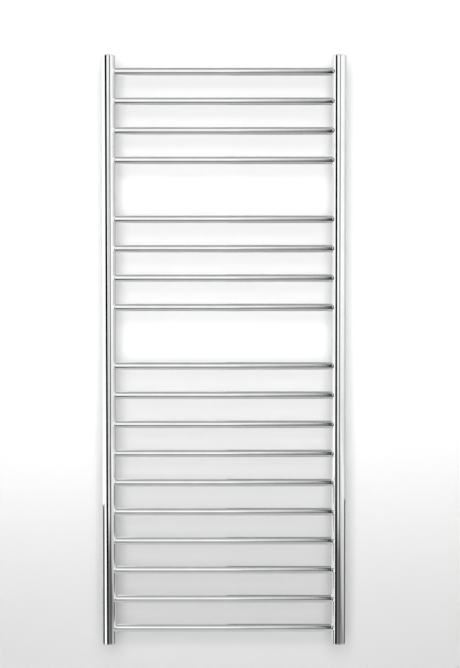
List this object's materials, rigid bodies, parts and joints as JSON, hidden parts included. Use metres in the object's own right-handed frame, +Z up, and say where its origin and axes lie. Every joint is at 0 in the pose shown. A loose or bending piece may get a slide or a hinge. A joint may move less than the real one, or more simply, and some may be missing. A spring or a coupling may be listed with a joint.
{
  "type": "towel warmer",
  "caption": "Wall-mounted electric towel warmer: a welded ladder of polished round rails in three groups between two round uprights, on telescopic stand-offs with grub screws.",
  "frame": {"origin": "on the wall plane, at the centre of the four wall fixing holes, halfway up the rack and halfway between its uprights", "axes": "+X along the rails to the right as seen from the front, +Y into the wall, +Z up; the rack stands in front of the wall towards -Y"},
  "size_m": [0.5, 0.09, 1.205],
  "materials": {
    "polished_upright": "mirror-polished stainless steel, faint lengthwise polishing lines",
    "polished_rail": "mirror-polished stainless steel, faint round polishing lines",
    "polished_cap": "mirror-polished stainless steel, rounded rim",
    "polished_standoff": "turned and polished stainless steel",
    "polished_weld": "dressed and polished weld, slightly wavy",
    "turned_steel": "fine turning marks",
    "screw_steel": "dark oiled steel",
    "black_rubber": "matte moulded rubber",
    "cable_sheath": "satin silicone sheath",
    "seal_plastic": "adhesive-lined shrink sleeve",
    "ceramic_block": "unglazed steatite",
    "cutout_case": "drawn aluminium can",
    "tinned_brass": "tinned brass"
  },
  "bodies": {
    "wall_mounts": {"wall_spigot_top_left": "turned_steel", "wall_spigot_bottom_left": "turned_steel", "wall_spigot_top_right": "turned_steel", "wall_spigot_bottom_right": "turned_steel"},
    "rack": {"upright_left": "polished_upright", "upright_right": "polished_upright", "rail_01": "polished_rail", "rail_02": "polished_rail", "rail_03": "polished_rail", "rail_04": "polished_rail", "rail_05": "polished_rail", "rail_06": "polished_rail", "rail_07": "polished_rail", "rail_08": "polished_rail", "rail_09": "polished_rail", "rail_10": "polished_rail", "rail_11": "polished_rail", "rail_12": "polished_rail", "rail_13": "polished_rail", "rail_14": "polished_rail", "rail_15": "polished_rail", "rail_16": "polished_rail", "rail_17": "polished_rail", "rail_18": "polished_rail", "end_cap_top_left": "polished_cap", "end_cap_bottom_left": "polished_cap", "end_cap_top_right": "polished_cap", "end_cap_bottom_right": "polished_cap", "standoff_top_left": "polished_standoff", "standoff_bottom_left": "polished_standoff", "standoff_top_right": "polished_standoff", "standoff_bottom_right": "polished_standoff", "weld_beads_left": "polished_weld", "weld_beads_right": "polished_weld", "cable_outlet": "polished_standoff", "cable_grommet": "black_rubber", "heating_cable": "cable_sheath", "cable_end_seal": "seal_plastic", "terminal_block": "ceramic_block", "thermal_cutout": "cutout_case", "earth_tab": "tinned_brass"},
    "grub_top_left": {"grub_screw_top_left": "screw_steel"},
    "grub_bottom_left": {"grub_screw_bottom_left": "screw_steel"},
    "grub_top_right": {"grub_screw_top_right": "screw_steel"},
    "grub_bottom_right": {"grub_screw_bottom_right": "screw_steel"}
  },
  "joints": [
    {"name": "depth_slide", "type": "slide", "parent": "wall_mounts", "child": "rack", "axis": [0, -1, 0], "range_m": [0, 0.02]},
    {"name": "grub_turn_top_left", "type": "hinge", "parent": "rack", "child": "grub_top_left", "pos_m": [-0.236, -0.022, 0.4724], "axis": [0, 0, 1], "range_deg": [-720, 0]},
    {"name": "grub_turn_bottom_left", "type": "hinge", "parent": "rack", "child": "grub_bottom_left", "pos_m": [-0.236, -0.022, -0.4876], "axis": [0, 0, 1], "range_deg": [-720, 0]},
    {"name": "grub_turn_top_right", "type": "hinge", "parent": "rack", "child": "grub_top_right", "pos_m": [0.236, -0.022, 0.4724], "axis": [0, 0, 1], "range_deg": [-720, 0]},
    {"name": "grub_turn_bottom_right", "type": "hinge", "parent": "rack", "child": "grub_bottom_right", "pos_m": [0.236, -0.022, -0.4876], "axis": [0, 0, 1], "range_deg": [-720, 0]}
  ]
}
